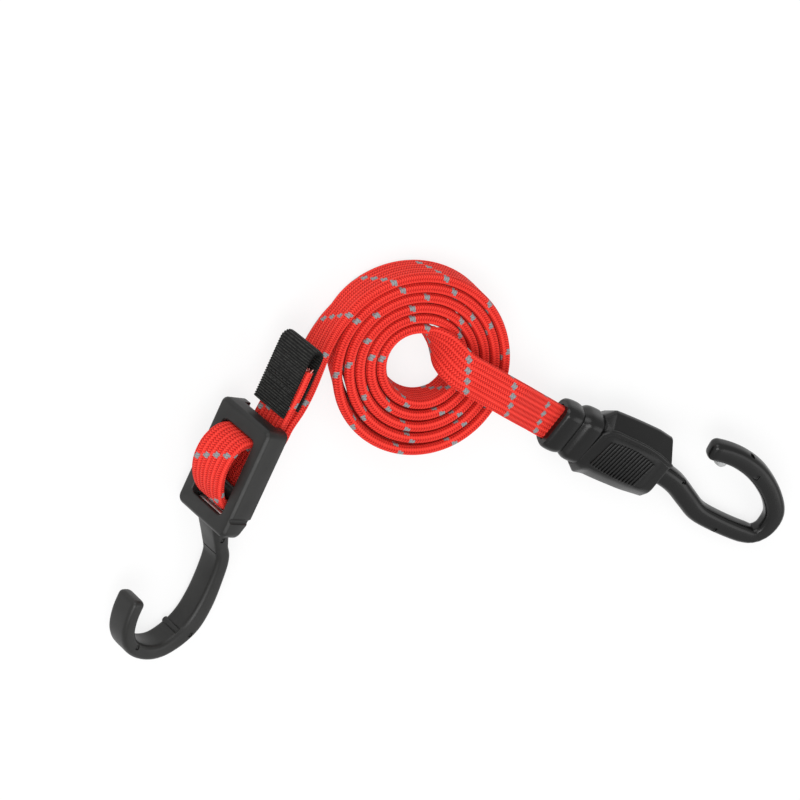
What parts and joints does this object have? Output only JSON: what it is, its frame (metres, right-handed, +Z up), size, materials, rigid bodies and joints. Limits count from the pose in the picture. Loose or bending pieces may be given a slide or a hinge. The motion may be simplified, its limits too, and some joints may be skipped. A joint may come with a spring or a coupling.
{
  "type": "flat adjustable bungee cord",
  "caption": "Flat woven elastic strap wound in a coil, with a ribbed grip and hook on its inner end and a frame adjuster with a hook and pull tab on its outer end.",
  "frame": {"origin": "on the table under the middle of the whole cord as it lies", "axes": "+Z up from the table, +Y towards the end of the fixed hook, +X towards the adjuster's hook"},
  "size_m": [0.26, 0.2822, 0.0451],
  "materials": {
    "woven_polyester": "woven",
    "latex_rubber": "smooth",
    "matte_nylon": "fine matte mould texture",
    "polished_nylon": "satin moulded",
    "steel": "drawn wire and plain strip",
    "ribbed_webbing": "ribbed webbing",
    "pale_rubber": "smooth"
  },
  "bodies": {
    "coil": {"coil_sheath": "woven_polyester", "coil_rubber": "latex_rubber"},
    "fixed_hook": {"grip_hook_moulding": "polished_nylon", "grip_cover": "polished_nylon", "grip_wire_core": "steel", "strap_crimp": "steel", "crimp_pin": "steel", "hook_tip_pad": "pale_rubber", "end_sheath": "woven_polyester", "end_rubber": "latex_rubber", "lead_sheath": "woven_polyester", "lead_rubber": "latex_rubber"},
    "adjuster": {"adjuster_frame_hook": "matte_nylon", "adjuster_wire_core": "steel", "loop_sheath": "woven_polyester", "loop_rubber": "latex_rubber", "run_sheath": "woven_polyester", "run_rubber": "latex_rubber"},
    "tail": {"tail_sheath": "woven_polyester", "tail_rubber": "latex_rubber", "pull_tab": "ribbed_webbing", "tab_stitching": "ribbed_webbing"}
  },
  "joints": [
    {"name": "fixed_hook_stretch", "type": "slide", "parent": "coil", "child": "fixed_hook", "axis": [-0.2588, 0.9659, 0], "range_m": [0, 0.06], "stiffness_N_per_m": 2600, "deforming": ["lead_sheath", "lead_rubber"]},
    {"name": "adjuster_stretch", "type": "slide", "parent": "coil", "child": "adjuster", "axis": [0.9382, 0.3461, 0], "range_m": [0, 0.06], "stiffness_N_per_m": 3100, "deforming": ["run_sheath", "run_rubber"]},
    {"name": "tail_slide", "type": "slide", "parent": "adjuster", "child": "tail", "axis": [-0.9291, -0.3427, 0.1392], "range_m": [-0.004, 0.012], "deforming": ["loop_sheath", "loop_rubber"]}
  ]
}
